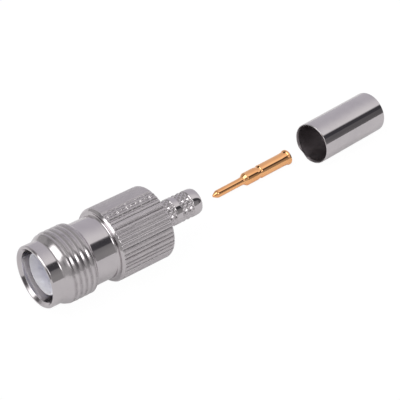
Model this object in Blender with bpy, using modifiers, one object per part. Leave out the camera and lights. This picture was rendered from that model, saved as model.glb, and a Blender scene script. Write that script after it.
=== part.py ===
"""Crimp jack kit for thin coaxial cable, laid out on a flat surface before it is fitted.

The kit is a threaded jack body with its insulator and its pressed-in crimp stem, a loose
centre contact and a loose crimp ferrule. +X runs along the jack from its mouth to its cable
end, +Z is up, and the surface is at z = 0. The origin is the middle of the kit's outline on
that surface. Lengths are real sizes in metres. A station is a distance along a piece's own
axis, counted from its front end.
"""

from math import atan2, cos, pi, radians, sin, tan

import bmesh
import bpy
from mathutils import Vector

MM = 0.001
INCH = 25.4 * MM

# Coupling thread, seven sixteenths of an inch with 28 turns to the inch
THREAD_RADIUS = 7 / 16 * INCH / 2
THREAD_PITCH = INCH / 28
THREAD_DEPTH = 0.6134 * THREAD_PITCH
THREAD_ROOT_WIDTH = THREAD_PITCH / 8
THREAD_FLANK_ANGLE = radians(30)
THREAD_LENGTH = 4.36 * MM
THREAD_CUTTER_MARGIN = 0.08 * MM

# Jack body in front of and behind the thread
NOSE_RADIUS = 4.88 * MM
NOSE_LENGTH = 1.96 * MM
NOSE_CHAMFER = 0.26 * MM
LEAD_IN_LENGTH = 1.24 * MM
NECK_RADIUS = 4.95 * MM
NECK_LENGTH = 3.90 * MM
NECK_FILLET = 0.30 * MM
THREAD_END_CHAMFER = 0.20 * MM

# Grip with its straight knurl
GRIP_RADIUS = 5.86 * MM
GRIP_LENGTH = 9.63 * MM
GRIP_FRONT_CHAMFER = 0.42 * MM
GRIP_REAR_ROUND = 0.40 * MM
KNURL_TEETH = 46
KNURL_DEPTH = 0.17 * MM
KNURL_CUTTER_MARGIN = 0.15 * MM

# Bore of the jack, from the mouth inwards, and the pocket that opens at its rear
MOUTH_RADIUS = 4.48 * MM
MOUTH_CHAMFER_LENGTH = 0.42 * MM
BORE_RADIUS = 4.05 * MM
BORE_DEPTH = 8.40 * MM
POCKET_RADIUS = 4.30 * MM
POCKET_DEPTH = 7.60 * MM
FIT_GAP = 0.06 * MM

# Insulator
SLEEVE_RADIUS = 3.33 * MM
SLEEVE_RECESS = 1.24 * MM
SLEEVE_WALL = 0.80 * MM
SLEEVE_EDGE = 0.25 * MM
CAVITY_DEPTH = 6.10 * MM
INSULATOR_FLANGE_LENGTH = 1.80 * MM

# Crimp stem with two diamond-knurled bands, the second one nearer to the cable end
STEM_RADIUS = 2.16 * MM
STEM_WALL = 0.38 * MM
STEM_LENGTH = 8.40 * MM
STEM_NOSE_LENGTH = 1.10 * MM
STEM_NOSE_DROP = 0.28 * MM
STEM_FLANGE_RECESS = 0.10 * MM
BAND_STARTS = (2.00 * MM, 4.50 * MM)
BAND_DIAMONDS = (1.5, 2.5)
DIAMOND_LENGTH = 0.94 * MM
DIAMONDS_AROUND = 15
DIAMOND_DEPTH = 0.16 * MM
DIAMOND_RISE = 0.03 * MM

# Centre contact, as lengths from its tip to its wire end
TIP_RADIUS = 0.19 * MM
TIP_LENGTH = 0.85 * MM
PIN_RADIUS = 0.64 * MM
PIN_LENGTH = 4.82 * MM
SHOULDER_LENGTH = 1.23 * MM
FRONT_BARREL_RADIUS = 1.09 * MM
FRONT_BARREL_LENGTH = 2.25 * MM
SNAP_GROOVE_RADIUS = 0.92 * MM
SNAP_GROOVE_LENGTH = 0.87 * MM
REAR_BARREL_RADIUS = 1.12 * MM
REAR_BARREL_LENGTH = 4.72 * MM
FLARE_RADIUS = 1.32 * MM
FLARE_LENGTH = 1.33 * MM
COLLAR_LENGTH = 0.28 * MM
WIRE_SOCKET_RADIUS = 0.76 * MM
WIRE_SOCKET_LENGTH = 6.30 * MM
HOLE_RADIUS = 0.14 * MM
HOLE_ANGLE = radians(3)
FLARE_HOLE_RECESS = 0.37 * MM
INSTALLED_TIP = 2.90 * MM

# Crimp ferrule
FERRULE_RADIUS = 3.51 * MM
FERRULE_WALL = 0.30 * MM
FERRULE_LENGTH = 14.46 * MM
FERRULE_EDGE = 0.12 * MM

# Where the loose pieces lie beside the jack: the front end on the surface, and the turn from +X
CONTACT_PLACE = Vector((36.71 * MM, 4.24 * MM))
CONTACT_TURN = radians(1.02)
FERRULE_PLACE = Vector((56.56 * MM, 2.49 * MM))
FERRULE_TURN = radians(3.91)

# Facets around each turned piece
SHELL_SEGMENTS = 2 * KNURL_TEETH
INSULATOR_SEGMENTS = 40
CONTACT_SEGMENTS = 28
FERRULE_SEGMENTS = 48
ROUNDING_STEPS = 3
SHARP_ANGLE = radians(28)
WELD_DISTANCE = 0.000001

NICKEL = ("nickel_plate", (0.62, 0.60, 0.61), 0.18, 1.0)
GOLD = ("gold_plate", (0.85, 0.56, 0.25), 0.20, 1.0)
PTFE = ("white_dielectric", (0.86, 0.86, 0.90), 0.45, 0.0)


def clear_scene():
    """Take away whatever the scene holds."""
    for old in list(bpy.data.objects):
        bpy.data.objects.remove(old, do_unlink=True)


def new_collection(name):
    collection = bpy.data.collections.new(name)
    bpy.context.scene.collection.children.link(collection)
    return collection


def new_material(name, finish):
    """A material of one piece's own, with the finish's colour, roughness and metallic value."""
    label, colour, roughness, metallic = finish
    material = bpy.data.materials.new(f"{name}_{label}")
    material.use_nodes = True
    shader = material.node_tree.nodes["Principled BSDF"]
    shader.inputs["Base Color"].default_value = (*colour, 1.0)
    shader.inputs["Roughness"].default_value = roughness
    shader.inputs["Metallic"].default_value = metallic
    material.diffuse_color = (*colour, 1.0)
    return material


def new_object(name, mesh, collection):
    piece = bpy.data.objects.new(name, mesh)
    collection.objects.link(piece)
    return piece


def turned(name, outline, segments, collection, closed=True):
    """Turn an outline of (station, radius) points about the X axis.

    The outline starts at the front, follows the outer side to the rear and comes back along
    the bore. An open outline starts and ends on the axis instead.
    """
    points = [(station, 0.0, radius) for station, radius in reversed(outline)]
    count = len(points)
    edges = [(i, (i + 1) % count) for i in range(count if closed else count - 1)]
    mesh = bpy.data.meshes.new(name)
    mesh.from_pydata(points, edges, [])
    piece = new_object(name, mesh, collection)
    turn = piece.modifiers.new("turn", "SCREW")
    turn.axis = "X"
    turn.steps = segments
    turn.render_steps = segments
    turn.use_merge_vertices = True
    turn.merge_threshold = WELD_DISTANCE
    return piece


def evaluated_mesh(piece):
    """The piece's mesh with its modifiers worked out."""
    bpy.context.view_layer.update()
    depsgraph = bpy.context.evaluated_depsgraph_get()
    return bpy.data.meshes.new_from_object(piece.evaluated_get(depsgraph))


def apply_modifiers(piece):
    mesh = evaluated_mesh(piece)
    piece.modifiers.clear()
    piece.data = mesh


def cut(piece, cutter):
    """Cut the piece with a cutter that lies in the same axes."""
    boolean = piece.modifiers.new(cutter.name, "BOOLEAN")
    boolean.operation = "DIFFERENCE"
    boolean.solver = "EXACT"
    boolean.object = cutter


def hide_cutter(cutter):
    cutter.hide_render = True
    cutter.display_type = "WIRE"


def finish(piece, look):
    """Keep the worked out mesh, shade its round faces smooth and give it its material."""
    apply_modifiers(piece)
    piece.data.name = piece.name
    piece.data.shade_smooth()
    piece.data.set_sharp_from_angle(angle=SHARP_ANGLE)
    piece.data.materials.clear()
    piece.data.materials.append(new_material(piece.name, look))


def quarter_round(centre, radius, start, end):
    """Points of a quarter circle in the outline's plane, angles counted from the +X side."""
    steps = [start + (end - start) * i / ROUNDING_STEPS for i in range(ROUNDING_STEPS + 1)]
    return [(centre[0] + radius * cos(a), centre[1] + radius * sin(a)) for a in steps]


def thread_front():
    return NOSE_LENGTH + LEAD_IN_LENGTH


def neck_front():
    return thread_front() + THREAD_LENGTH


def grip_front():
    return neck_front() + NECK_LENGTH


def grip_rear():
    return grip_front() + GRIP_LENGTH


def pocket_front():
    return grip_rear() - POCKET_DEPTH


def shell_outline():
    """Nose, lead-in cone, thread, neck and grip outside; pocket, seat and jack bore inside."""
    face_radius = GRIP_RADIUS - GRIP_FRONT_CHAMFER
    fillet_centre = (grip_front() - NECK_FILLET, NECK_RADIUS + NECK_FILLET)
    round_centre = (grip_rear() - GRIP_REAR_ROUND, GRIP_RADIUS - GRIP_REAR_ROUND)
    seat_radius = SLEEVE_RADIUS + FIT_GAP
    outer = [
        (0.0, NOSE_RADIUS - NOSE_CHAMFER),
        (NOSE_CHAMFER, NOSE_RADIUS),
        (NOSE_LENGTH, NOSE_RADIUS),
        (thread_front(), THREAD_RADIUS),
        (neck_front() - THREAD_END_CHAMFER, THREAD_RADIUS),
        (neck_front(), NECK_RADIUS),
        *quarter_round(fillet_centre, NECK_FILLET, -pi / 2, 0.0),
        (grip_front(), face_radius),
        (grip_front() + GRIP_FRONT_CHAMFER, GRIP_RADIUS),
        *quarter_round(round_centre, GRIP_REAR_ROUND, pi / 2, 0.0),
    ]
    inner = [
        (grip_rear(), POCKET_RADIUS),
        (pocket_front(), POCKET_RADIUS),
        (pocket_front(), seat_radius),
        (BORE_DEPTH, seat_radius),
        (BORE_DEPTH, BORE_RADIUS),
        (MOUTH_CHAMFER_LENGTH, BORE_RADIUS),
        (0.0, MOUTH_RADIUS),
    ]
    return outer + inner


def thread_cutter(collection):
    """The thread's groove: a wedge with a narrow flat floor, carried along a right-hand helix.

    It starts in the air over the nose and ends in the air over the neck, so the thread runs
    in and out of the metal as a cut one does.
    """
    root_radius = THREAD_RADIUS - THREAD_DEPTH
    top_radius = THREAD_RADIUS + THREAD_CUTTER_MARGIN
    root_half = THREAD_ROOT_WIDTH / 2
    top_half = root_half + (top_radius - root_radius) * tan(THREAD_FLANK_ANGLE)
    first = NOSE_LENGTH - THREAD_PITCH
    turns = int((neck_front() + THREAD_PITCH - first) / THREAD_PITCH) + 1
    section = [
        (first - root_half, root_radius),
        (first + root_half, root_radius),
        (first + top_half, top_radius),
        (first - top_half, top_radius),
    ]
    cutter = turned("thread_cutter", section, KNURL_TEETH, collection)
    helix = cutter.modifiers["turn"]
    helix.screw_offset = THREAD_PITCH
    helix.iterations = turns
    helix.use_merge_vertices = False
    apply_modifiers(cutter)
    cap_ends(cutter.data)
    hide_cutter(cutter)
    return cutter


def cap_ends(mesh):
    """Close the two open ends of a swept section and point its faces outwards."""
    shape = bmesh.new()
    shape.from_mesh(mesh)
    bmesh.ops.holes_fill(shape, edges=shape.edges, sides=0)
    bmesh.ops.recalc_face_normals(shape, faces=shape.faces)
    shape.to_mesh(mesh)
    shape.free()


def knurl_cutter(collection):
    """One wedge for each groove of the straight knurl, all past both ends of the grip."""
    root_radius = GRIP_RADIUS - KNURL_DEPTH
    half = KNURL_DEPTH + KNURL_CUTTER_MARGIN
    front = grip_front() - KNURL_CUTTER_MARGIN
    rear = grip_rear() + KNURL_CUTTER_MARGIN
    shape = bmesh.new()
    for tooth in range(KNURL_TEETH):
        angle = 2 * pi * (tooth + 0.5) / KNURL_TEETH
        outward = Vector((0.0, sin(angle), cos(angle)))
        along = Vector((0.0, cos(angle), -sin(angle)))
        corners = (
            outward * root_radius,
            outward * (root_radius + half) + along * half,
            outward * (root_radius + half) - along * half,
        )
        ends = [
            [shape.verts.new(Vector((station, 0.0, 0.0)) + corner) for corner in corners]
            for station in (front, rear)
        ]
        shape.faces.new(ends[0])
        shape.faces.new(reversed(ends[1]))
        for i in range(3):
            j = (i + 1) % 3
            shape.faces.new((ends[0][i], ends[1][i], ends[1][j], ends[0][j]))
    bmesh.ops.recalc_face_normals(shape, faces=shape.faces)
    mesh = bpy.data.meshes.new("knurl_cutter")
    shape.to_mesh(mesh)
    shape.free()
    cutter = new_object("knurl_cutter", mesh, collection)
    hide_cutter(cutter)
    return cutter


def body_shell(collection, cutters):
    shell = turned("body_shell", shell_outline(), SHELL_SEGMENTS, collection)
    cut(shell, thread_cutter(cutters))
    cut(shell, knurl_cutter(cutters))
    finish(shell, NICKEL)
    return shell


def insulator_rear():
    return pocket_front() + FIT_GAP + INSULATOR_FLANGE_LENGTH


def barrel_front():
    return TIP_LENGTH + PIN_LENGTH + SHOULDER_LENGTH


def groove_front():
    return barrel_front() + FRONT_BARREL_LENGTH


def insulator_outline():
    """A sleeve in the jack's bore, closed behind but for the stepped hole of the contact."""
    cavity_radius = SLEEVE_RADIUS - SLEEVE_WALL
    cavity_floor = SLEEVE_RECESS + CAVITY_DEPTH
    pin_hole = PIN_RADIUS + FIT_GAP
    barrel_hole = REAR_BARREL_RADIUS + FIT_GAP
    stop = INSTALLED_TIP + barrel_front()
    ridge_front = INSTALLED_TIP + groove_front() + FIT_GAP
    ridge_rear = ridge_front + SNAP_GROOVE_LENGTH - 2 * FIT_GAP
    ridge_radius = SNAP_GROOVE_RADIUS + FIT_GAP
    return [
        (SLEEVE_RECESS, SLEEVE_RADIUS - FIT_GAP),
        (SLEEVE_RECESS + FIT_GAP, SLEEVE_RADIUS),
        (pocket_front() + FIT_GAP, SLEEVE_RADIUS),
        (pocket_front() + FIT_GAP, POCKET_RADIUS - FIT_GAP),
        (insulator_rear(), POCKET_RADIUS - FIT_GAP),
        (insulator_rear(), barrel_hole),
        (ridge_rear, barrel_hole),
        (ridge_rear, ridge_radius),
        (ridge_front, ridge_radius),
        (ridge_front, barrel_hole),
        (stop, barrel_hole),
        (stop - SHOULDER_LENGTH / 2, pin_hole),
        (cavity_floor, pin_hole),
        (cavity_floor, cavity_radius),
        (SLEEVE_RECESS + SLEEVE_EDGE, cavity_radius),
        (SLEEVE_RECESS, cavity_radius + SLEEVE_EDGE),
    ]


def insulator(collection):
    piece = turned("insulator", insulator_outline(), INSULATOR_SEGMENTS, collection)
    finish(piece, PTFE)
    return piece


def band_rings(start, diamonds):
    """Rings of one diamond-knurled band, half a diamond apart.

    A ring is (station, crest radius, groove depth, first column that is grooved). Grooved
    and raised columns change places from ring to ring, which makes the crossing grooves.
    """
    half = DIAMOND_LENGTH / 2
    crest = STEM_RADIUS + DIAMOND_RISE
    rings = [(start - half, STEM_RADIUS, 0.0, 0)]
    for row in range(int(2 * diamonds)):
        rings.append((start + row * half, crest, DIAMOND_DEPTH, row % 2))
    rings.append((start + int(2 * diamonds) * half, STEM_RADIUS, 0.0, 0))
    return rings


def stem_rings():
    """Rings of the stem from its flange to its nose, then back along the bore."""
    rear_face = grip_rear() - STEM_FLANGE_RECESS
    flange_front = insulator_rear() + FIT_GAP
    flange_radius = POCKET_RADIUS - FIT_GAP
    nose = grip_rear() + STEM_LENGTH
    bore = STEM_RADIUS - STEM_WALL
    rings = [
        (flange_front, flange_radius, 0.0, 0),
        (rear_face, flange_radius, 0.0, 0),
        (rear_face, STEM_RADIUS, 0.0, 0),
    ]
    for start, diamonds in zip(BAND_STARTS, BAND_DIAMONDS):
        rings += band_rings(grip_rear() + start, diamonds)
    for step in range(ROUNDING_STEPS + 1):
        angle = pi / 2 * step / ROUNDING_STEPS
        station = nose - STEM_NOSE_LENGTH * (1.0 - sin(angle))
        rings.append((station, STEM_RADIUS - STEM_NOSE_DROP * (1.0 - cos(angle)), 0.0, 0))
    rings += [(nose, bore, 0.0, 0), (flange_front, bore, 0.0, 0)]
    return rings


def crimp_stem(collection):
    """Stack the stem's rings and join each one to the next.

    Between knurled rings each cell is split along its grooved corners, so the grooves are
    straight valleys and every diamond is a low pyramid.
    """
    columns = 2 * DIAMONDS_AROUND
    shape = bmesh.new()
    stacked = []
    for station, radius, depth, first in stem_rings():
        ring = []
        for column in range(columns):
            angle = 2 * pi * column / columns
            r = radius - depth if (column + first) % 2 == 0 else radius
            ring.append(shape.verts.new((station, r * sin(angle), r * cos(angle))))
        stacked.append((ring, depth > 0.0, first))
    for i, (ring, knurled, first) in enumerate(stacked):
        following = stacked[(i + 1) % len(stacked)]
        both_knurled = knurled and following[1]
        for column in range(columns):
            beside = (column + 1) % columns
            a, b = ring[column], ring[beside]
            c, d = following[0][beside], following[0][column]
            if not both_knurled:
                shape.faces.new((a, d, c, b))
            elif (column + first) % 2 == 0:
                shape.faces.new((a, c, b))
                shape.faces.new((a, d, c))
            else:
                shape.faces.new((a, d, b))
                shape.faces.new((b, d, c))
    mesh = bpy.data.meshes.new("crimp_stem")
    shape.to_mesh(mesh)
    shape.free()
    stem = new_object("crimp_stem", mesh, collection)
    finish(stem, NICKEL)
    return stem


def contact_side():
    """The contact's outer side from its tip to its wire end, as (station, radius) points."""
    shaft = TIP_LENGTH + PIN_LENGTH
    groove_rear = groove_front() + SNAP_GROOVE_LENGTH
    flare = groove_rear + REAR_BARREL_LENGTH
    collar = flare + FLARE_LENGTH
    return [
        (0.0, TIP_RADIUS),
        (TIP_LENGTH, PIN_RADIUS),
        (shaft, PIN_RADIUS),
        (barrel_front(), FRONT_BARREL_RADIUS),
        (groove_front(), FRONT_BARREL_RADIUS),
        (groove_front(), SNAP_GROOVE_RADIUS),
        (groove_rear, SNAP_GROOVE_RADIUS),
        (groove_rear, REAR_BARREL_RADIUS),
        (flare, REAR_BARREL_RADIUS),
        (collar, FLARE_RADIUS),
        (collar + COLLAR_LENGTH, FLARE_RADIUS),
    ]


def contact_outline():
    side = contact_side()
    end = side[-1][0]
    bottom = end - WIRE_SOCKET_LENGTH
    socket = [
        (end, WIRE_SOCKET_RADIUS),
        (bottom, WIRE_SOCKET_RADIUS),
        (bottom - WIRE_SOCKET_RADIUS / 2, 0.0),
    ]
    return [(0.0, 0.0)] + side + socket


def drill(name, station, collection):
    """A small drill that enters the contact's wall from above, as far as the wire socket."""
    length = FLARE_RADIUS
    shape = bmesh.new()
    bmesh.ops.create_cone(
        shape,
        cap_ends=True,
        segments=10,
        radius1=HOLE_RADIUS,
        radius2=HOLE_RADIUS,
        depth=length,
    )
    mesh = bpy.data.meshes.new(name)
    shape.to_mesh(mesh)
    shape.free()
    cutter = new_object(name, mesh, collection)
    reach = WIRE_SOCKET_RADIUS / 2 + length / 2
    cutter.location = (station, reach * sin(HOLE_ANGLE), reach * cos(HOLE_ANGLE))
    cutter.rotation_euler = (-HOLE_ANGLE, 0.0, 0.0)
    hide_cutter(cutter)
    return cutter


def centre_contact(collection, cutters):
    contact = turned("centre_contact", contact_outline(), CONTACT_SEGMENTS, collection, closed=False)
    socket_hole = groove_front() + SNAP_GROOVE_LENGTH - HOLE_RADIUS
    flare_hole = contact_side()[-2][0] - FLARE_HOLE_RECESS
    cut(contact, drill("socket_hole_cutter", socket_hole, cutters))
    cut(contact, drill("flare_hole_cutter", flare_hole, cutters))
    finish(contact, GOLD)
    return contact


def ferrule_outline():
    bore = FERRULE_RADIUS - FERRULE_WALL
    land = FERRULE_WALL / 2
    edge = min(FERRULE_EDGE, land)
    return [
        (0.0, FERRULE_RADIUS - edge),
        (edge, FERRULE_RADIUS),
        (FERRULE_LENGTH - edge, FERRULE_RADIUS),
        (FERRULE_LENGTH, FERRULE_RADIUS - edge),
        (FERRULE_LENGTH, bore),
        (0.0, bore),
    ]


def crimp_ferrule(collection):
    ferrule = turned("crimp_ferrule", ferrule_outline(), FERRULE_SEGMENTS, collection)
    finish(ferrule, NICKEL)
    return ferrule


def rest_tilt(side):
    """The tilt at which a turned piece lies on a flat surface, and its axis's height at its front.

    It touches the surface with its widest ring and with the ring in front of that which
    leaves the least tilt.
    """
    widest = max(radius for _, radius in side)
    far = next(point for point in side if point[1] >= widest)
    ahead = [point for point in side if point[0] < far[0]]
    tilt = min(atan2(far[1] - radius, far[0] - station) for station, radius in ahead)
    return tilt, far[1] * cos(tilt) - far[0] * sin(tilt)


def lay(name, pieces, place, turn, height, tilt, collection):
    """Stand an empty where the pieces' axis starts, turn it to their resting place."""
    empty = bpy.data.objects.new(name, None)
    collection.objects.link(empty)
    empty.location = (place.x, place.y, height)
    empty.rotation_euler = (0.0, -tilt, turn)
    for piece in pieces:
        piece.parent = empty
    return empty


def centre_on_floor(places, pieces):
    """Move the whole layout so that the middle of its outline is at the origin."""
    bpy.context.view_layer.update()
    corners = [piece.matrix_world @ vertex.co for piece in pieces for vertex in piece.data.vertices]
    low = Vector([min(c[i] for c in corners) for i in range(3)])
    high = Vector([max(c[i] for c in corners) for i in range(3)])
    shift = (low + high) / 2
    for place in places:
        place.location.x -= shift.x
        place.location.y -= shift.y
        place.location.z -= low.z


def main():
    clear_scene()
    kit = new_collection("crimp_jack_kit")
    cutters = new_collection("cutters")
    shell = body_shell(kit, cutters)
    sleeve = insulator(kit)
    stem = crimp_stem(kit)
    contact = centre_contact(kit, cutters)
    ferrule = crimp_ferrule(kit)
    contact_tilt, contact_height = rest_tilt(contact_side())
    origin = Vector((0.0, 0.0))
    jack_cutters = [bpy.data.objects[name] for name in ("thread_cutter", "knurl_cutter")]
    drills = [bpy.data.objects[name] for name in ("socket_hole_cutter", "flare_hole_cutter")]
    places = [
        lay("jack_place", [shell, sleeve, stem, *jack_cutters], origin, 0.0, GRIP_RADIUS, 0.0, kit),
        lay("contact_place", [contact, *drills], CONTACT_PLACE, CONTACT_TURN, contact_height,
            contact_tilt, kit),
        lay("ferrule_place", [ferrule], FERRULE_PLACE, FERRULE_TURN, FERRULE_RADIUS, 0.0, kit),
    ]
    centre_on_floor(places, [shell, sleeve, stem, contact, ferrule])


main()
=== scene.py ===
"""Looks of a crimp jack kit: a threaded jack with its insulator and stem, a loose pin contact
and a loose ferrule, lying on a pale studio floor.

Every piece is a turned surface. A point of it has a station s along the piece's own axis and
an angle t about that axis, counted from straight up towards +Y, and it lies at
(s, r sin t, r cos t), where r is the outline's radius at s plus any relief cut into it.
"""

import bmesh
import bpy
import numpy as np
from mathutils import Euler, Matrix, Vector


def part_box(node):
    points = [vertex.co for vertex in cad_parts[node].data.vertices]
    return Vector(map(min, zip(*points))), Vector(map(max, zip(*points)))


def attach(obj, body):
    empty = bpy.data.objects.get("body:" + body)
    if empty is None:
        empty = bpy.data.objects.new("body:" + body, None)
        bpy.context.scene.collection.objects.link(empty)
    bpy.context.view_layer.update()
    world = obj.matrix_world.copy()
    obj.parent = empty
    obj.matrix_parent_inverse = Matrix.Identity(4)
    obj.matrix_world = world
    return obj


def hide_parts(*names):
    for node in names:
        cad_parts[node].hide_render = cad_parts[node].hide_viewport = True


MM = 0.001
INCH = 25.4 * MM

# Jack body, stations from its mouth
NOSE_RADIUS = 4.88 * MM
NOSE_END = 1.96 * MM
RIM_WIDTH = 0.22 * MM
RIM_EDGE = 0.18 * MM
THREAD_RADIUS = 7 / 16 * INCH / 2
THREAD_PITCH = INCH / 28
THREAD_START = 3.20 * MM
THREAD_END = 7.56 * MM
THREAD_SLOPE = 0.42 * MM
CONE_START = NOSE_END + 0.18 * MM
CONE_END = THREAD_START - 0.08 * MM
NECK_RADIUS = 4.95 * MM
GRIP_START = 11.46 * MM
GRIP_RADIUS = 5.86 * MM
GRIP_END = 21.09 * MM
GRIP_BEVEL = 0.42 * MM
BEVEL_DROP = 0.30 * MM
MOUTH_RADIUS = 4.48 * MM
MOUTH_CHAMFER = 0.42 * MM
BORE_RADIUS = 4.05 * MM
BORE_END = 8.40 * MM
POCKET_RADIUS = 4.30 * MM
POCKET_START = 13.49 * MM
FIT_GAP = 0.06 * MM

# Where the insulator puts the tip of a fitted contact
CONTACT_SEAT = 2.90 * MM

# Coupling thread as it shows: soft rounded ridges, which fade in over the lead-in cone and
# out before the neck. A phase is a share of the pitch.
RIDGE_DEPTH = 0.09 * MM
ROWS_PER_RIDGE = 16
VALLEY_ROUNDING = 0.02
RIDGE_PHASE = 0.312
# Phase at which painted shade lies behind each ridge, where the valleys shade the thread
HOLLOW_SHADE_PHASE = 0.62
RIDGES_START = THREAD_START - 0.45 * MM
FADE_IN_LENGTH = 0.60 * MM
RIDGES_END = THREAD_END - 0.20 * MM
FADE_OUT_LENGTH = 0.45 * MM
THREAD_ROWS_START = THREAD_START - 0.50 * MM
THREAD_ROWS_END = THREAD_END - 0.62 * MM

# Straight knurl of the grip, which fades in at the bevel and out at the rear edge
KNURL_TEETH = 46
KNURL_DEPTH = 0.15 * MM
KNURL_START = GRIP_START + 0.30 * MM
KNURL_FADE_IN = 0.26 * MM
KNURL_END = GRIP_END + 0.04 * MM
KNURL_FADE_OUT = 0.24 * MM
KNURL_ROWS_START = GRIP_START + 0.70 * MM
KNURL_ROWS_END = GRIP_END - 0.70 * MM
KNURL_ROW_STEP = 0.15 * MM

# Grooves of the knurl, counted round the grip from straight up. Shifts and half widths are
# shares of a tooth, and depths are shares of the knurl's depth. Most are drawn from a range.
KNURL_SEED = 46
GROOVE_SHIFT = 0.14
GROOVE_HALVES = (0.06, 0.13)
GROOVE_DEPTHS = (0.35, 0.85)
BURR = 0.10
LAND_DROP = 1.2 * BURR
FAINT_TEETH = (0, 1, 2, 3, 4, 5, 27, 28, 29, 30, 31)
TOOTH_DEPTHS = {33: 1.1, 34: 0.9, 35: 1.35, 43: 1.1} | dict.fromkeys(FAINT_TEETH, 0.10)
WIDE_TEETH = {
    34: 0.20, 37: 0.18, 38: 0.22, 39: 0.20, 40: 0.16, 42: 0.20, 43: 0.28, 44: 0.29, 45: 0.24,
}
WIDE_HALF = 0.15
SHINY_HOLLOW = 0.14

# Profile across a groove: its columns as shares of its half width, and how deep each one lies
GROOVE_STEPS = np.array([-1.25, -1.0, -0.5, 0.0, 0.5, 1.0, 1.25])
GROOVE_CUT = np.array([-BURR, 0.04, 0.62, 1.0, 0.62, 0.04, -BURR])

# Marks that the rolling tool left by chattering, with their strength at some grooves
CHATTER_TEETH = {43: 0.4, 44: 1.0, 45: 0.8}
FAINT_CHATTER = 0.04
CHATTER_DEPTH = 0.13 * MM
CHATTER_LENGTH = 0.85 * MM
CHATTER_SKEW = 4.0
SWELL_LENGTH = 2.3 * CHATTER_LENGTH
SWELL = 0.35

# Insulator
SLEEVE_RADIUS = 3.33 * MM
SLEEVE_START = 1.24 * MM
SLEEVE_WALL = 0.80 * MM
FUNNEL_DEPTH = 1.1 * MM
FUNNEL_WIDTH = 0.6 * MM
CAVITY_END = 7.34 * MM
INSULATOR_END = 15.35 * MM

# Crimp stem
STEM_RADIUS = 2.16 * MM
STEM_BORE = 1.78 * MM
STEM_END = 29.49 * MM
STEM_NOSE = 1.10 * MM
STEM_NOSE_DROP = 0.28 * MM
FLANGE_SET_BACK = 0.10 * MM
BANDS = ((22.80 * MM, 24.68 * MM), (25.50 * MM, 27.90 * MM))
DIAMOND_LENGTH = 0.94 * MM
DIAMONDS_AROUND = 15
DIAMOND_DEPTH = 0.15 * MM
DIAMOND_RISE = 0.02 * MM
BAND_FADE = 0.24 * MM
ROWS_PER_DIAMOND = 24
ROWS_ON_NOSE = 9

# Centre contact, stations from its tip
TIP_RADIUS = 0.19 * MM
TIP_END = 0.85 * MM
PIN_RADIUS = 0.64 * MM
PIN_END = 5.67 * MM
PIN_SWELL = 0.04 * MM
SHOULDER = 0.62 * MM
BARREL_START = 6.90 * MM
FRONT_BARREL_RADIUS = 1.09 * MM
SNAP_START = 9.15 * MM
SNAP_RADIUS = 0.99 * MM
SNAP_END = 10.02 * MM
SNAP_FRONT_SLOPE = 0.45 * MM
SNAP_REAR_SLOPE = 0.16 * MM
REAR_BARREL_RADIUS = 1.12 * MM
FLARE_START = 14.80 * MM
FLARE_END = 16.00 * MM
FLARE_FOOT = 16.07 * MM
FLARE_RADIUS = 1.32 * MM
FLARE_LIFT = 0.015 * MM
FLARE_SLOPE = 0.20 * MM
FLARE_SWELL = 0.05 * MM
CONTACT_END = 16.35 * MM
SOCKET_RADIUS = 0.76 * MM
SOCKET_DEPTH = 6.30 * MM
HOLE_RADIUS = 0.19 * MM
HOLE_STATIONS = (9.88 * MM, 15.70 * MM)
HOLE_ANGLE = np.radians(3)
SHARP_EDGE = np.radians(50)

# Ferrule
FERRULE_RADIUS = 3.51 * MM
FERRULE_WALL = 0.30 * MM
FERRULE_LENGTH = 14.46 * MM
FERRULE_RIM = 0.13 * MM
FERRULE_CHAMFER = 0.34 * MM
DENT_ANGLE = np.radians(148)
DENT_SPREAD = np.radians(26)
DENT_DEPTH = 0.30 * MM
DENT_LENGTH = 1.6 * MM
DENT_ROWS_START = 0.4 * MM
DENT_ROWS_END = 2.0 * MM
DENT_ROW_STEP = 0.2 * MM

# Where the loose pieces lie, counted from the middle of the jack's rim on the floor
CONTACT_PLACE = (36.71 * MM, 4.24 * MM)
CONTACT_TURN = np.radians(1.02)
FERRULE_PLACE = (56.56 * MM, 2.49 * MM)
FERRULE_TURN = np.radians(3.91)

# Camera, from the photo's outlines
CAMERA_PLACE = (-113.177 * MM, -131.955 * MM, 129.839 * MM)
CAMERA_TURN = (np.radians(90 - 36.168), 0.0, np.radians(-39.4465))
CAMERA_LENS = 122.84
CAMERA_SENSOR = 36.0
CAMERA_NEAR = 10.0 * MM

# Rounded corners of the outlines: steps of their arcs, from what rounding on a corner is wide,
# and how far its support rows lie beside it, as a share of its rounding
ARC_STEPS = 4
WIDE_ARC_STEPS = 10
WIDE_ROUNDING = 0.3 * MM
HOLD = 0.2

# Two stations this close count as one, two points this close are merged, and a row this close
# to a bore or a rim lies on it
SAME_STATION = 1e-9
SAME_POINT = 1e-8
CLOSE = 0.01 * MM

# Columns of the even pieces round their axes
INSULATOR_COLUMNS = 120
STEM_COLUMNS = 16 * DIAMONDS_AROUND
CONTACT_COLUMNS = 96
FERRULE_COLUMNS = 192

# Outline points of the chamfer of the shell's mouth and of the ferrule's front rim, which come
# last in each outline, and of the ferrule's rear rim. They look like the outside, not the bore.
ROWS_ON_MOUTH = 8
ROWS_ON_FRONT_RIM = 3
ROWS_ON_REAR_RIM = 2


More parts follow.
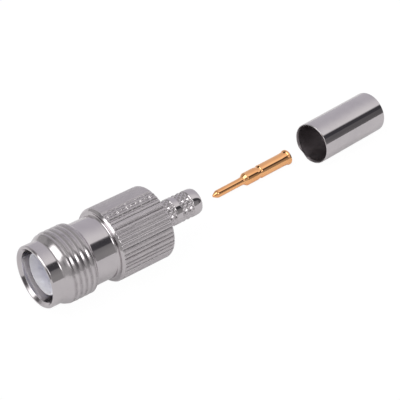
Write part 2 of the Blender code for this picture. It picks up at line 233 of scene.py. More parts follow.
def corner(before, at, after, rounding):
    """Points of a rounded corner: the parabola (1-q)^2 P + 2 q (1-q) C + q^2 Q.

    C is the corner, P and Q lie one rounding before and after it on the two straight sides,
    and one more point on each side keeps the flat beside the rounding flat.
    """
    before, at, after = (np.array(p, float) for p in (before, at, after))
    into = (before - at) / np.linalg.norm(before - at)
    out = (after - at) / np.linalg.norm(after - at)
    start, end = at + into * rounding, at + out * rounding
    steps = WIDE_ARC_STEPS if rounding > WIDE_ROUNDING else ARC_STEPS
    q = np.linspace(0.0, 1.0, steps + 1)[:, None]
    arc = (1 - q) ** 2 * start + 2 * q * (1 - q) * at + q**2 * end
    return np.vstack([start + into * rounding * HOLD, arc, end + out * rounding * HOLD])


def rounded_outline(points, closed=True):
    """An outline of (station, radius, rounding) corners as one array of (station, radius) points."""
    places = [(s, r) for s, r, _ in points]
    count = len(points)
    parts = []
    for i, (s, r, rounding) in enumerate(points):
        inner = closed or 0 < i < count - 1
        if rounding > 0.0 and inner:
            parts.append(corner(places[i - 1], (s, r), places[(i + 1) % count], rounding))
        else:
            parts.append(np.array([[s, r]]))
    return np.vstack(parts)


def with_rows(outline, start, end, step):
    """Add rows at an even step between two stations of the outline's outer side.

    The radius of an added row is read off the straight line between its neighbours. Stations
    are rounded to a nanometre, so that no row comes twice.
    """
    first, last = start - SAME_STATION, end + SAME_STATION
    top = int(np.argmax(outline[:, 0]))
    outer, inner = outline[: top + 1], outline[top + 1 :]
    added = np.arange(start, end, step)
    stations = np.unique(np.round(np.concatenate([outer[:, 0], added]), 9))
    keep = np.concatenate([[True], np.diff(outer[:, 0]) > SAME_STATION])
    radii = np.interp(stations, outer[keep, 0], outer[keep, 1])
    inside = (stations > first) & (stations < last)
    before, after = outer[outer[:, 0] < first], outer[outer[:, 0] > last]
    middle = np.stack([stations[inside], radii[inside]], axis=1)
    return np.vstack([before, middle, after, inner])


def smooth_step(x):
    """Zero below 0 and one above 1, with the cubic 3 x^2 - 2 x^3 between."""
    x = np.clip(x, 0.0, 1.0)
    return x * x * (3.0 - 2.0 * x)


def turned_points(outline, angles, relief=0.0):
    """Grid of points (s, r sin t, r cos t), one row for each outline point."""
    s = outline[:, 0][:, None] + 0.0 * angles[None, :]
    r = outline[:, 1][:, None] + relief + 0.0 * s
    return np.stack([s, r * np.sin(angles), r * np.cos(angles)], axis=-1)


def even_angles(count):
    """Angles of an even turn, from straight up."""
    return np.linspace(0.0, 2 * np.pi, count, endpoint=False)


def grid_faces(rows, columns, closed_rows=True):
    """Quads of a grid that closes on itself round the axis, and along the outline if asked."""
    first = np.arange(rows if closed_rows else rows - 1)
    i, j = np.meshgrid(first, np.arange(columns), indexing="ij")
    down, across = (i + 1) % rows, (j + 1) % columns
    corners = (i * columns + j, down * columns + j, down * columns + across, i * columns + across)
    return np.stack([c.ravel() for c in corners], axis=1)


def new_piece(name, points, faces, place, node, hollow=None):
    """One closed surface as an object: placed in its mesh, shaded smooth, attached to the root body, with
    its part hidden.
    """
    flat = points.reshape(-1, 3)
    turn = np.array(place.to_3x3())
    mesh = bpy.data.meshes.new(name)
    mesh.from_pydata((flat @ turn.T + np.array(place.translation)).tolist(), [], faces.tolist())
    if hollow is not None:
        depth = mesh.attributes.new("hollow", "FLOAT", "POINT")
        depth.data.foreach_set("value", np.ascontiguousarray(hollow.ravel(), np.float32))
    shape = bmesh.new()
    shape.from_mesh(mesh)
    bmesh.ops.remove_doubles(shape, verts=shape.verts, dist=SAME_POINT)
    shape.to_mesh(mesh)
    shape.free()
    mesh.shade_smooth()
    piece = bpy.data.objects.new(name, mesh)
    bpy.context.scene.collection.objects.link(piece)
    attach(piece, "root")
    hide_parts(node)
    return piece


def give_looks(piece, *looks):
    """Give a piece its materials, numbered from 0."""
    for look in looks:
        piece.data.materials.append(look)


def paint_rows(piece, numbers, columns):
    """Give every ring of faces the material of its number, counted along the outline."""
    index = np.repeat(np.asarray(numbers, np.int32), columns)
    piece.data.polygons.foreach_set("material_index", index[: len(piece.data.polygons)])


def lying_place(front, turn, height, tilt=0.0):
    """Matrix that takes a piece from its own axis to where it lies on the floor."""
    spin = Euler((0.0, -tilt, turn)).to_matrix().to_4x4()
    return Matrix.Translation(Vector((front[0], front[1], height))) @ spin


def shell_outline():
    """The jack body: nose, cone, thread, neck and grip, then the pocket, the bore and the mouth."""
    return rounded_outline([
        (0.0, MOUTH_RADIUS + RIM_WIDTH, 0.04 * MM),
        (RIM_EDGE, NOSE_RADIUS, 0.07 * MM),
        (CONE_START, NOSE_RADIUS, 0.18 * MM),
        (CONE_END, THREAD_RADIUS, 0.75 * MM),
        (THREAD_END - THREAD_SLOPE, THREAD_RADIUS, 0.22 * MM),
        (THREAD_END, NECK_RADIUS, 0.16 * MM),
        (GRIP_START, NECK_RADIUS, 0.40 * MM),
        (GRIP_START, GRIP_RADIUS - BEVEL_DROP, 0.08 * MM),
        (GRIP_START + GRIP_BEVEL, GRIP_RADIUS, 0.12 * MM),
        (GRIP_END, GRIP_RADIUS, 0.46 * MM),
        (GRIP_END, POCKET_RADIUS, 0.05 * MM),
        (POCKET_START, POCKET_RADIUS, 0.05 * MM),
        (POCKET_START, SLEEVE_RADIUS + FIT_GAP, 0.03 * MM),
        (BORE_END, SLEEVE_RADIUS + FIT_GAP, 0.03 * MM),
        (BORE_END, BORE_RADIUS, 0.05 * MM),
        (MOUTH_CHAMFER, BORE_RADIUS, 0.05 * MM),
        (0.0, MOUTH_RADIUS, 0.03 * MM),
    ])


def thread_phase(s, t):
    """Turns of a right-hand thread: s / pitch + t / (2 pi), which grows along and round the jack."""
    return (s - THREAD_START) / THREAD_PITCH + t / (2 * np.pi) - RIDGE_PHASE


def thread_fade(s):
    """One along the thread, with smooth steps to zero over the lead-in cone and before the neck."""
    fade_in = smooth_step((s - RIDGES_START) / FADE_IN_LENGTH)
    fade_out = smooth_step((RIDGES_END - s) / FADE_OUT_LENGTH)
    return fade_in * fade_out


def thread_relief(s, t):
    """Soft ridges: minus depth times 1 - root(((sin pi p)^2 + k) / (1 + k)), faded at both ends.

    p is the phase of the thread and k the rounding of the valleys.
    """
    rounded = np.sin(np.pi * thread_phase(s, t)) ** 2 + VALLEY_ROUNDING
    valley = 1.0 - np.sqrt(rounded / (1.0 + VALLEY_ROUNDING))
    return -RIDGE_DEPTH * valley * thread_fade(s)


def thread_hollow_shade(s, t):
    """Painted shade behind each ridge, which also dulls it: (1 + cos 2 pi (p - g)) / 2, with the phases p
    and g of the thread and of the painted shade, faded as the ridges are.
    """
    behind = 0.5 + 0.5 * np.cos(2 * np.pi * (thread_phase(s, t) - HOLLOW_SHADE_PHASE))
    return behind * thread_fade(s)


def knurl_columns():
    """Angles of the grip's columns, and how deep each one lies, as a share of the knurl's depth.

    A groove has columns at its middle, half way up, at both edges and just outside them, where
    the metal rises to a burr, and the land between two grooves has one. Grooves differ in
    place, width and depth, as rolled ones do. The third array says how strongly the rolling
    tool chattered at each column, and the last which columns belong to a wide groove.
    """
    rng = np.random.default_rng(KNURL_SEED)
    middle = np.arange(KNURL_TEETH) + 0.5 + rng.uniform(-GROOVE_SHIFT, GROOVE_SHIFT, KNURL_TEETH)
    half = rng.uniform(*GROOVE_HALVES, KNURL_TEETH)
    for tooth, width in WIDE_TEETH.items():
        middle[tooth], half[tooth] = tooth + 0.5, width
    depth = rng.uniform(*GROOVE_DEPTHS, KNURL_TEETH)
    for tooth, share in TOOTH_DEPTHS.items():
        depth[tooth] = share
    shake = np.array([CHATTER_TEETH.get(i, FAINT_CHATTER) for i in range(KNURL_TEETH)])
    grooves = middle[:, None] + half[:, None] * GROOVE_STEPS
    following = np.roll(middle, -1)
    following[-1] += KNURL_TEETH
    land = (middle + following) / 2
    places = np.concatenate([grooves, land[:, None]], axis=1)
    depths = np.concatenate([depth[:, None] * GROOVE_CUT, np.zeros((KNURL_TEETH, 1))], axis=1)
    shakes = shake[:, None] * np.append(GROOVE_CUT > 0.0, False)
    wide = np.repeat(half > WIDE_HALF, places.shape[1])
    angles = places.ravel() * 2 * np.pi / KNURL_TEETH
    return angles, depths.ravel(), shakes.ravel(), wide


def chatter(s, t):
    """Skew waves along the grip: sine of 2 pi (s / length + skew t), uneven by a slower sine.

    One is taken off, so that the waves only cut into the grip.
    """
    wave = np.sin(2 * np.pi * (s / CHATTER_LENGTH + CHATTER_SKEW * t))
    strength = 1.0 - SWELL + SWELL * np.sin(2 * np.pi * s / SWELL_LENGTH)
    return wave * strength - 1.0


def knurl_fade(s):
    """One along the knurl, with smooth steps to zero at the bevel and at the rounded rear edge."""
    front = smooth_step((s - KNURL_START) / KNURL_FADE_IN)
    rear = smooth_step((KNURL_END - s) / KNURL_FADE_OUT)
    return front * rear


def nickel_shell(jack):
    """The jack body: its outline turned, with thread and knurl as relief on the outer side.

    Painted shade lies in the narrow grooves and behind the ridges, and wide grooves stay shiny.
    """
    outline = shell_outline()
    outline = with_rows(outline, THREAD_ROWS_START, THREAD_ROWS_END, THREAD_PITCH / ROWS_PER_RIDGE)
    outline = with_rows(outline, KNURL_ROWS_START, KNURL_ROWS_END, KNURL_ROW_STEP)
    angles, groove, shake, wide = knurl_columns()
    s, t = outline[:, 0][:, None], angles[None, :]
    rear = int(np.argmax(outline[:, 0]))
    row = np.arange(len(outline))
    outer = (row <= rear)[:, None]
    cut = CHATTER_DEPTH * shake * chatter(s, t) - KNURL_DEPTH * (groove + LAND_DROP)
    relief = thread_relief(s, t) + cut * knurl_fade(s)
    points = turned_points(outline, angles, np.where(outer, relief, 0.0))
    # Painted shade in the knurl's grooves, little in the wide ones, and painted shade behind the thread's
    # ridges
    hollow = np.clip(groove * knurl_fade(s), 0.0, 1.0)
    hollow = np.where(wide, np.minimum(hollow, SHINY_HOLLOW), hollow)
    hollow = (hollow + thread_hollow_shade(s, t)) * outer
    faces = grid_faces(len(outline), len(angles))
    piece = new_piece("nickel_shell", points, faces, jack, "body_shell", hollow)
    give_looks(
        piece,
        turned_nickel("shell_nickel", "shell"),
        knurled_nickel(),
        bored_nickel("shell_bore", LIT_BORE_TONE, SHINY_BORE),
        turned_nickel("thread_nickel", "thread"),
    )
    station = outline[:, 0]
    on_grip = (station > GRIP_START + GRIP_BEVEL) & (row < rear)
    in_bore = row > rear
    in_bore[-ROWS_ON_MOUTH:] = False
    on_thread = (station > NOSE_END) & (station < RIDGES_END) & (row < rear)
    paint_rows(piece, on_grip + 2 * in_bore + 3 * on_thread, len(angles))


def insulator_outline():
    """A sleeve with a flange in the shell's pocket, and inside it the pin's hole and the ridge
    that holds the contact's snap groove.
    """
    cavity = SLEEVE_RADIUS - SLEEVE_WALL
    pin_hole = PIN_RADIUS + FIT_GAP
    barrel_hole = REAR_BARREL_RADIUS + FIT_GAP
    stop = CONTACT_SEAT + BARREL_START
    ridge = CONTACT_SEAT + SNAP_START + FIT_GAP
    ridge_end = ridge + SNAP_END - SNAP_START - 2 * FIT_GAP
    flange_start = POCKET_START + FIT_GAP
    return rounded_outline([
        (SLEEVE_START, SLEEVE_RADIUS, 0.08 * MM),
        (flange_start, SLEEVE_RADIUS, 0.03 * MM),
        (flange_start, POCKET_RADIUS - FIT_GAP, 0.08 * MM),
        (INSULATOR_END, POCKET_RADIUS - FIT_GAP, 0.08 * MM),
        (INSULATOR_END, barrel_hole, 0.06 * MM),
        (ridge_end, barrel_hole, 0.03 * MM),
        (ridge_end, SNAP_RADIUS + FIT_GAP, 0.08 * MM),
        (ridge, SNAP_RADIUS + FIT_GAP, 0.08 * MM),
        (ridge, barrel_hole, 0.03 * MM),
        (stop, barrel_hole, 0.06 * MM),
        (stop - SHOULDER, pin_hole, 0.06 * MM),
        (CAVITY_END, pin_hole, 0.06 * MM),
        (CAVITY_END, cavity, 0.25 * MM),
        (SLEEVE_START + FUNNEL_DEPTH, cavity, 0.5 * MM),
        (SLEEVE_START, cavity + FUNNEL_WIDTH, 0.06 * MM),
    ])


def white_insulator(jack):
    """The insulator: its outline turned, with no relief."""
    outline = insulator_outline()
    angles = even_angles(INSULATOR_COLUMNS)
    points = turned_points(outline, angles)
    faces = grid_faces(len(outline), len(angles))
    piece = new_piece("white_insulator", points, faces, jack, "insulator")
    give_looks(piece, waxy_white())


def stem_outline():
    """A flange in the shell's pocket, then the stem, whose nose is a quarter of an ellipse:
    (nose + length sin a, radius - drop (1 - cos a)).
    """
    flange_start = INSULATOR_END + FIT_GAP
    face = GRIP_END - FLANGE_SET_BACK
    nose = STEM_END - STEM_NOSE
    quarter = np.linspace(0.0, np.pi / 2, ROWS_ON_NOSE)
    stations = nose + STEM_NOSE * np.sin(quarter)
    radii = STEM_RADIUS - STEM_NOSE_DROP * (1 - np.cos(quarter))
    return rounded_outline([
        (flange_start, POCKET_RADIUS - FIT_GAP, 0.08 * MM),
        (face, POCKET_RADIUS - FIT_GAP, 0.06 * MM),
        (face, STEM_RADIUS, 0.08 * MM),
        *((s, r, 0.0) for s, r in zip(stations, radii)),
        (STEM_END, STEM_BORE, 0.03 * MM),
        (flange_start, STEM_BORE, 0.05 * MM),
    ])


def diamond_relief(s, t):
    """Two crossing sets of V grooves: the lower of the two sets' heights at each point.

    The phases a = s / length + n t / (2 pi) and b = s / length - n t / (2 pi) count the
    grooves of each set. A groove is deepest where its phase is a whole number, and its flat
    sides meet those of the next groove half way, so each diamond is a pyramid.
    """
    relief = np.zeros(np.broadcast(s, t).shape)
    for start, end in BANDS:
        along = (s - start) / DIAMOND_LENGTH - 0.5
        around = DIAMONDS_AROUND * t / (2 * np.pi)
        a = 2 * np.abs((along + around + 0.5) % 1.0 - 0.5)
        b = 2 * np.abs((along - around + 0.5) % 1.0 - 0.5)
        fade = smooth_step((s - start) / BAND_FADE) * smooth_step((end - s) / BAND_FADE)
        depth = (DIAMOND_DEPTH + DIAMOND_RISE) * (1 - np.minimum(a, b))
        relief += fade * (DIAMOND_RISE - depth)
    return relief


def knurled_stem(jack):
    """The stem: its outline turned, with two bands of diamonds as relief on the outer side."""
    row_step = DIAMOND_LENGTH / ROWS_PER_DIAMOND
    outline = with_rows(stem_outline(), BANDS[0][0], BANDS[1][1], row_step)
    angles = even_angles(STEM_COLUMNS)
    row = np.arange(len(outline))
    rear = np.argmax(outline[:, 0])
    outer = (row <= rear)[:, None]
    relief = np.where(outer, diamond_relief(outline[:, 0][:, None], angles[None, :]), 0.0)
    points = turned_points(outline, angles, relief)
    # Painted shade in the grooves between the diamonds, strongest at their bottoms
    hollow = np.clip(-relief / DIAMOND_DEPTH, 0.0, 1.0) ** 2
    faces = grid_faces(len(outline), len(angles))
    piece = new_piece("knurled_stem", points, faces, jack, "crimp_stem", hollow)
    outside = turned_nickel("stem_nickel", "stem")
    give_looks(piece, outside, bored_nickel("stem_bore", LIT_BORE_TONE, DULL_BORE))
    in_bore = (row > rear) & (outline[:, 1] < STEM_BORE + CLOSE)
    paint_rows(piece, in_bore, len(angles))


def contact_outline():
    """Tip, pin, front barrel, snap groove, rear barrel and flare, then the wire socket inside.

    The flare is drawn smaller by its lift, so that it stays above the floor.
    """
    socket = CONTACT_END - SOCKET_DEPTH
    flare = FLARE_RADIUS - FLARE_LIFT
    return rounded_outline([
        (0.0, 0.0, 0.0),
        (0.0, TIP_RADIUS, 0.10 * MM),
        (TIP_END, PIN_RADIUS, 0.20 * MM),
        (PIN_END, PIN_RADIUS, 0.10 * MM),
        (BARREL_START - SHOULDER, PIN_RADIUS + PIN_SWELL, 0.12 * MM),
        (BARREL_START, FRONT_BARREL_RADIUS, 0.08 * MM),
        (SNAP_START, FRONT_BARREL_RADIUS, 0.10 * MM),
        (SNAP_START + SNAP_FRONT_SLOPE, SNAP_RADIUS, 0.12 * MM),
        (SNAP_END - SNAP_REAR_SLOPE, SNAP_RADIUS, 0.08 * MM),
        (SNAP_END, REAR_BARREL_RADIUS, 0.10 * MM),
        (FLARE_START, REAR_BARREL_RADIUS, 0.15 * MM),
        (FLARE_END - FLARE_SLOPE, REAR_BARREL_RADIUS + FLARE_SWELL, 0.05 * MM),
        (FLARE_END, flare, 0.06 * MM),
        (CONTACT_END, flare, 0.10 * MM),
        (CONTACT_END, SOCKET_RADIUS, 0.10 * MM),
        (socket, SOCKET_RADIUS, 0.05 * MM),
        (socket - SOCKET_RADIUS / 2, 0.0, 0.0),
    ], closed=False)


def contact_rest():
    """Tilt and front height of the contact, which lies on its flare and on its front barrel."""
    tilt = np.arctan2(FLARE_RADIUS - FRONT_BARREL_RADIUS, FLARE_FOOT - BARREL_START)
    return tilt, FLARE_RADIUS * np.cos(tilt) - FLARE_FOOT * np.sin(tilt)


def drill_hole(piece, station, place):
    """Cut a small round hole from above into the wire socket, and give it the second material, painted dark
    as the shade inside the hole.
    """
    reach = FLARE_RADIUS
    turned = Euler((-HOLE_ANGLE, 0.0, 0.0)).to_matrix().to_4x4()
    centre = Vector((station, reach * np.sin(HOLE_ANGLE), reach * np.cos(HOLE_ANGLE)))
    shape = bmesh.new()
    bmesh.ops.create_cone(
        shape, cap_ends=True, segments=24, radius1=HOLE_RADIUS, radius2=HOLE_RADIUS, depth=2 * reach
    )
    shape.transform(place @ Matrix.Translation(centre) @ turned)
    mesh = bpy.data.meshes.new("drill")
    shape.to_mesh(mesh)
    shape.free()
    drill = bpy.data.objects.new("drill", mesh)
    bpy.context.scene.collection.objects.link(drill)
    cut = piece.modifiers.new("hole", "BOOLEAN")
    cut.operation = "DIFFERENCE"
    cut.solver = "EXACT"
    cut.object = drill
    evaluated = piece.evaluated_get(bpy.context.evaluated_depsgraph_get())
    drilled = bpy.data.meshes.new_from_object(evaluated)
    piece.modifiers.clear()
    piece.data = drilled
    bpy.data.objects.remove(drill)
    axis = (place @ turned).to_3x3() @ Vector((0.0, 0.0, 1.0))
    foot = place @ Vector((station, 0.0, 0.0))
    for face in drilled.polygons:
        away = face.center - foot
        up = away.dot(axis)
        if up > 0.0 and (away - up * axis).length < HOLE_RADIUS:
            face.material_index = 1


def gold_contact(front):
    """The contact: an open outline turned from its tip to the socket's end, with two holes."""
    tilt, height = contact_rest()
    place = lying_place(front, CONTACT_TURN, height, tilt)
    outline = contact_outline()
    angles = even_angles(CONTACT_COLUMNS)
    points = turned_points(outline, angles)
    faces = grid_faces(len(outline), len(angles), closed_rows=False)
    piece = new_piece("gold_contact", points, faces, place, "centre_contact")
    give_looks(piece, turned_gold(), bored_nickel("contact_hole_shade", HOLE_SHADE_TONE, DULL_BORE))
    for station in HOLE_STATIONS:
        drill_hole(piece, station, place)
    piece.data.shade_smooth()
    piece.data.set_sharp_from_angle(angle=SHARP_EDGE)


def dent_relief(s, t):
    """A shallow flat in the front rim: minus depth times (1 + cos of the spread angle) / 2.

    It dies away with the cube of the share of its length that is left behind the rim.
    """
    aside = np.clip(np.abs(t - DENT_ANGLE) / DENT_SPREAD, 0.0, 1.0)
    left = np.clip(1.0 - s / DENT_LENGTH, 0.0, 1.0)
    return -DENT_DEPTH * (0.5 + 0.5 * np.cos(np.pi * aside)) * left**3


def nickel_ferrule(front):
    """A thin tube with a wide chamfer inside its front rim, which is dented at one side. Its bore and
    chamfer are painted dark as shade.

    Two more points in the bore let it follow the dent.
    """
    place = lying_place(front, FERRULE_TURN, FERRULE_RADIUS)
    bore = FERRULE_RADIUS - FERRULE_WALL
    outline = rounded_outline([
        (0.0, FERRULE_RADIUS, 0.11 * MM),
        (FERRULE_LENGTH, FERRULE_RADIUS, 0.13 * MM),
        (FERRULE_LENGTH, bore, 0.08 * MM),
        (DENT_ROWS_END, bore, 0.0),
        (DENT_ROWS_END / 2, bore, 0.0),
        (FERRULE_CHAMFER, bore, 0.10 * MM),
        (0.0, FERRULE_RADIUS - FERRULE_RIM, 0.03 * MM),
    ])
    outline = with_rows(outline, DENT_ROWS_START, DENT_ROWS_END, DENT_ROW_STEP)
    angles = even_angles(FERRULE_COLUMNS)
    points = turned_points(outline, angles, dent_relief(outline[:, 0][:, None], angles[None, :]))
    faces = grid_faces(len(outline), len(angles))
    piece = new_piece("nickel_ferrule", points, faces, place, "crimp_ferrule")
    outside = turned_nickel("ferrule_nickel", "ferrule")
    give_looks(piece, outside, bored_nickel("ferrule_shaded_bore", SHADED_BORE_TONE, DULL_BORE))
    row, rear = np.arange(len(outline)), np.argmax(outline[:, 0])
    in_bore = (row > rear + ROWS_ON_REAR_RIM) & (outline[:, 0] < FERRULE_LENGTH - CLOSE)
    in_bore[-ROWS_ON_FRONT_RIM:] = False
    paint_rows(piece, in_bore, len(angles))


def new_group(name, inputs, outputs):
    """A shader node group with named sockets, given as (name, kind, default) and (name, kind)."""
    group = bpy.data.node_groups.new(name, "ShaderNodeTree")
    for label, kind, default in inputs:
        socket = group.interface.new_socket(label, in_out="INPUT", socket_type="NodeSocket" + kind)
        socket.default_value = default
    for label, kind in outputs:
        group.interface.new_socket(label, in_out="OUTPUT", socket_type="NodeSocket" + kind)
    return group, group.nodes.new("NodeGroupInput"), group.nodes.new("NodeGroupOutput")


def add_node(tree, kind, settings=None, values=None, links=None):
    """A node with its settings, its unlinked values and its links from other sockets."""
    node = tree.nodes.new("ShaderNode" + kind)
    for key, value in (settings or {}).items():
        setattr(node, key, value)
    for key, value in (values or {}).items():
        node.inputs[key].default_value = value
    for key, source in (links or {}).items():
        tree.links.new(source, node.inputs[key])
    return node


def blend_colours(tree, factor, first, second):
    """Mix two colours; each may be a colour or a socket.

    Inputs 6 and 7 of the node are its two colours, and output 2 is their blend.
    """
    node = add_node(tree, "Mix", {"data_type": "RGBA"}, links={"Factor": factor})
    for socket, value in ((node.inputs[6], first), (node.inputs[7], second)):
        if isinstance(value, tuple):
            socket.default_value = (*value, 1.0)
        else:
            tree.links.new(value, socket)
    return node.outputs[2]


def noise(tree, vector, scale, detail, roughness=0.5):
    """Noise between 0 and 1, with the scale in features per metre."""
    values = {"Scale": scale, "Detail": detail, "Roughness": roughness}
    return add_node(tree, "TexNoise", values=values, links={"Vector": vector}).outputs["Fac"]


def stretch(tree, value, start, end, low=0.0, high=1.0):
    """Take a value from one range to another, and hold it inside the second."""
    values = {"From Min": start, "From Max": end, "To Min": low, "To Max": high}
    return add_node(tree, "MapRange", values=values, links={"Value": value}).outputs["Result"]


def share_along(tree, first, second):
    """Dot product of two directions."""
    links = {0: first, 1: second}
    return add_node(tree, "VectorMath", {"operation": "DOT_PRODUCT"}, links=links).outputs["Value"]


def maths(tree, operation, first, second=None, clamp=False):
    """One sum with two values, each a number or a socket."""
    node = tree.nodes.new("ShaderNodeMath")
    node.operation = operation
    node.use_clamp = clamp
    for i, value in enumerate((first, second)):
        if value is None:
            continue
        if isinstance(value, float):
            node.inputs[i].default_value = value
        else:
            tree.links.new(value, node.inputs[i])
    return node.outputs[0]


def turning_marks_group():
    """Fine rings left by the cutting tool: noise that is squeezed along the piece's axis."""
    group, given, out = new_group(
        "turning_marks",
        [
            ("Vector", "Vector", (0.0, 0.0, 0.0)),
            ("Rings per mm", "Float", 14.0),
            ("Wander", "Float", 0.25),
        ],
        [("Height", "Float")],
    )
    squeeze = add_node(group, "CombineXYZ")
    along = maths(group, "DIVIDE", given.outputs["Rings per mm"], MM)
    across = maths(group, "DIVIDE", given.outputs["Wander"], MM)
    for axis, source in (("X", along), ("Y", across), ("Z", across)):
        group.links.new(source, squeeze.inputs[axis])
    links = {0: given.outputs["Vector"], 1: squeeze.outputs[0]}
    spread = add_node(group, "VectorMath", {"operation": "MULTIPLY"}, links=links)
    rings = noise(group, spread.outputs[0], scale=1.0, detail=2.0, roughness=0.6)
    group.links.new(rings, out.inputs["Height"])
    return group


def plating_group():
    """Plated metal: cloudy tone, handling smudges in the roughness, painted shade in the hollows.

    The painted shade is thicker where the metal is smudged, and it dulls the metal too.
    """
    group, given, out = new_group(
        "plating",
        [
            ("Vector", "Vector", (0.0, 0.0, 0.0)),
            ("Hollow", "Float", 0.0),
            ("Colour", "Color", (0.6, 0.6, 0.6, 1.0)),
            ("Cloud colour", "Color", (0.5, 0.5, 0.5, 1.0)),
            ("Hollow shade colour", "Color", (0.1, 0.1, 0.1, 1.0)),
            ("Hollow shade", "Float", 0.5),
            ("Smooth", "Float", 0.05),
            ("Smudged", "Float", 0.12),
        ],
        [("Colour", "Color"), ("Roughness", "Float")],
    )
    vector, colour = given.outputs["Vector"], given.outputs["Colour"]
    clouds = noise(group, vector, scale=0.35 / MM, detail=4.0, roughness=0.55)
    cloudy = stretch(group, clouds, start=0.40, end=0.68)
    toned = blend_colours(group, cloudy, colour, given.outputs["Cloud colour"])
    handled = noise(group, vector, scale=0.9 / MM, detail=3.0, roughness=0.6)
    smudges = stretch(group, handled, start=0.30, end=0.72)
    # Painted shade: the hollows take the shade colour, patchy by the smudges, and a little more roughness
    shade_in_hollow = maths(group, "MULTIPLY", given.outputs["Hollow"], given.outputs["Hollow shade"], clamp=True)
    patchy_shade = maths(group, "MULTIPLY", shade_in_hollow, maths(group, "ADD", smudges, 0.6), clamp=True)
    hollow_shaded = blend_colours(group, patchy_shade, toned, given.outputs["Hollow shade colour"])
    sockets = {"To Min": given.outputs["Smooth"], "To Max": given.outputs["Smudged"]}
    rough = add_node(group, "MapRange", links={"Value": smudges} | sockets)
    dulled = maths(group, "ADD", rough.outputs["Result"], maths(group, "MULTIPLY", patchy_shade, 0.25))
    group.links.new(hollow_shaded, out.inputs["Colour"])
    group.links.new(dulled, out.inputs["Roughness"])
    return group


def new_look(name):
    """A node material, its node tree, its shader and its Object coordinates."""
    material = bpy.data.materials.new(name)
    material.use_nodes = True
    tree = material.node_tree
    shader = tree.nodes["Principled BSDF"]
    place = add_node(tree, "TexCoord")
    return material, tree, shader, place.outputs["Object"]


def axis_coordinates(tree, coordinates, turn):
    """Object coordinates turned so that X runs along a piece that lies turned on the floor."""
    node = add_node(
        tree, "Mapping", {"vector_type": "TEXTURE"}, {"Rotation": (0.0, 0.0, turn)}, {"Vector": coordinates}
    )
    return node.outputs[0]


def hollow_depth(tree):
    """How far a point lies in a hollow, as its mesh keeps it."""
    return add_node(tree, "Attribute", {"attribute_name": "hollow"}).outputs["Fac"]


def use_group(tree, group, values, links):
    """Place a node group with its own values and links."""
    node = tree.nodes.new("ShaderNodeGroup")
    node.node_tree = group
    for key, value in values.items():
        node.inputs[key].default_value = value
    for key, source in links.items():
        tree.links.new(source, node.inputs[key])
    return node


# Tones of the plating, the bores and the insulator. The bores' tones are painted light and shade: nickel
# made lighter in the shell and the stem, darker in the ferrule and the contact's holes.
NICKEL = (0.575, 0.545, 0.555)
NICKEL_CLOUD = (0.540, 0.510, 0.525)
# Painted shade, laid into the hollows of the thread, the knurl and the stem
HOLLOW_SHADE = (0.10, 0.085, 0.09)
GOLD = (0.99, 0.525, 0.24)
GOLD_CLOUD = (0.93, 0.455, 0.195)
# Shell and stem bores: nickel painted lighter than the plating, as painted light in the bore
LIT_BORE_TONE = (0.74, 0.71, 0.72)
# Ferrule bore: nickel painted dark, as painted shade inside the tube
SHADED_BORE_TONE = (0.30, 0.27, 0.28)
# Contact holes: painted dark brown, as painted shade inside the holes
HOLE_SHADE_TONE = (0.10, 0.05, 0.025)
BORE_CLOUD = 0.86
WAX = (0.80, 0.795, 0.87)
WAX_CLOUD = (0.765, 0.76, 0.84)

# Lowest and highest roughness of each finish
WAX_ROUGHNESS = (0.45, 0.58)
SHINY_BORE = (0.18, 0.26)
DULL_BORE = (0.40, 0.52)
KNURL_ROUGHNESS = (0.40, 0.50)
GOLD_ROUGHNESS = (0.03, 0.06)
NICKEL_ROUGHNESS = {
    "shell": (0.10, 0.14),
    "thread": (0.17, 0.22),
    "stem": (0.06, 0.10),
    "ferrule": (0.05, 0.09),
}

# Pieces with painted shade in their hollows, and pieces that lie turned on the floor
HOLLOW_SHADE_SHARES = {"thread": 0.31, "stem": 0.16}
KNURL_HOLLOW_SHADE = 0.30
PIECE_TURNS = {"ferrule": FERRULE_TURN}

# Grooves of the knurl are brighter than its lands: the hollow from which they are so fully, and
# how much roughness that takes off
BRIGHT_HOLLOW = 0.12
BRIGHTER = 0.24

# Lathe rings: strength of the bump, and rings in a millimetre
NICKEL_RINGS = (0.012, 14.0)
BORE_RINGS = (0.04, 6.0)
GOLD_RINGS = (0.06, 4.0)
WAX_RINGS = (0.06, 9.0)
RING_HEIGHT = 0.01 * MM

# Streaks along the grip: their number in a metre along and across it, strength and height
STREAKS = (0.35 / MM, 5.0 / MM, 5.0 / MM)
STREAK_STRENGTH = 0.4
STREAK_HEIGHT = 0.02 * MM

# How far light goes in the white dielectric, and the share of that for red, green and blue
WAX_DEPTH = 1.6 * MM
WAX_SPREAD = (1.0, 0.98, 0.95)


def plated_look(tree, shader, place, tone, cloud, roughness, hollow_shade=0.0):
    """Make a shader plated metal, with its lowest and its highest roughness."""
    plating = use_group(tree, GROUPS["plating"], {
        "Colour": (*tone, 1.0),
        "Cloud colour": (*cloud, 1.0),
        "Hollow shade colour": (*HOLLOW_SHADE, 1.0),
        "Hollow shade": hollow_shade,
        "Smooth": roughness[0],
        "Smudged": roughness[1],
    }, {"Vector": place, "Hollow": hollow_depth(tree)})
    shader.inputs["Metallic"].default_value = 1.0
    tree.links.new(plating.outputs["Colour"], shader.inputs["Base Color"])
    tree.links.new(plating.outputs["Roughness"], shader.inputs["Roughness"])
    return plating


def faint_bump(tree, shader, height, strength, distance):
    """Tilt a shader's normals by a height."""
    values = {"Strength": strength, "Distance": distance}
    bump = add_node(tree, "Bump", values=values, links={"Height": height})
    tree.links.new(bump.outputs["Normal"], shader.inputs["Normal"])


